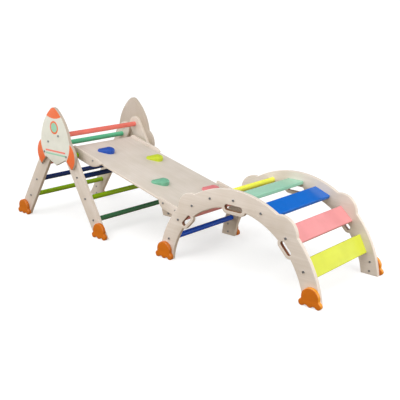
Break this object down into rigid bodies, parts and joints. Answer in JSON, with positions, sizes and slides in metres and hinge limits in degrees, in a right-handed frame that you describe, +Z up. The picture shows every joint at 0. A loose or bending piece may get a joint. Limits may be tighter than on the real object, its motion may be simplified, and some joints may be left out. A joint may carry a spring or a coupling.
{
  "type": "toddler climbing gym",
  "caption": "Indoor toddler climbing set: rocket-sided rung triangle, ramp with climbing holds hooked between rungs, and a crawl-through arch of rungs and flat slats on paw feet",
  "frame": {"origin": "on the floor at the middle of the set's footprint", "axes": "+X from the triangle to the arch, +Y to the far side, +Z up"},
  "size_m": [1.986, 0.558, 0.622],
  "materials": {
    "birch_ply": "sanded, clear lacquer",
    "painted_board": "cream paint with orange nose and fins, bare inner face",
    "orange_paint": "satin paint",
    "coral_paint": "satin paint",
    "lime_paint": "satin paint",
    "blue_paint": "satin paint",
    "green_paint": "satin paint",
    "mint_paint": "satin paint",
    "pink_paint": "satin paint",
    "blue_resin": "fine-textured moulded hold",
    "lime_resin": "fine-textured moulded hold",
    "mint_resin": "fine-textured moulded hold",
    "pink_resin": "fine-textured moulded hold",
    "zinc_steel": "dark zinc plate"
  },
  "bodies": {
    "triangle": {"front_leg_near": "birch_ply", "front_leg_far": "birch_ply", "rear_leg_near": "birch_ply", "rear_leg_far": "birch_ply", "rocket_panel_near": "painted_board", "rocket_panel_far": "painted_board", "front_rung_1": "coral_paint", "front_rung_2": "lime_paint", "front_rung_3": "blue_paint", "front_rung_4": "lime_paint", "front_rung_5": "green_paint", "rear_rung_1": "green_paint", "rear_rung_2": "coral_paint", "rear_rung_3": "blue_paint", "rear_rung_4": "lime_paint", "front_paw_near": "orange_paint", "front_paw_far": "orange_paint", "rear_paw_near": "orange_paint", "rear_paw_far": "orange_paint", "panel_bolts": "zinc_steel", "leg_bolts": "zinc_steel", "flush_bolts": "zinc_steel", "triangle_paw_screws": "zinc_steel"},
    "ramp": {"ramp_board": "birch_ply", "upper_cheek_near": "birch_ply", "upper_cheek_far": "birch_ply", "lower_cheek_near": "birch_ply", "lower_cheek_far": "birch_ply", "hook_plate_near": "birch_ply", "hook_plate_far": "birch_ply", "hold_1": "blue_resin", "hold_2": "lime_resin", "hold_3": "mint_resin", "hold_4": "pink_resin", "hold_bolts": "zinc_steel", "cheek_screws": "zinc_steel", "hook_screws": "zinc_steel", "hook_bar": "birch_ply", "hook_bar_bolts": "zinc_steel"},
    "arch": {"arch_panel_near": "birch_ply", "arch_panel_far": "birch_ply", "arch_rung_1": "lime_paint", "arch_rung_2": "mint_paint", "arch_rung_3": "pink_paint", "arch_rung_4": "blue_paint", "slat_1": "mint_paint", "slat_2": "blue_paint", "slat_3": "pink_paint", "slat_4": "lime_paint", "arch_paw_left_near": "orange_paint", "arch_paw_left_far": "orange_paint", "arch_paw_right_near": "orange_paint", "arch_paw_right_far": "orange_paint", "arch_bolts": "zinc_steel", "arch_paw_screws": "zinc_steel"}
  },
  "joints": [
    {"name": "ramp_swing", "type": "hinge", "parent": "triangle", "child": "ramp", "pos_m": [-0.50697, 0, 0.38125], "axis": [0, -1, 0], "range_deg": [0, 40]},
    {"name": "arch_pull", "type": "slide", "parent": "triangle", "child": "arch", "axis": [1, 0, 0], "range_m": [0, 0.4]}
  ]
}
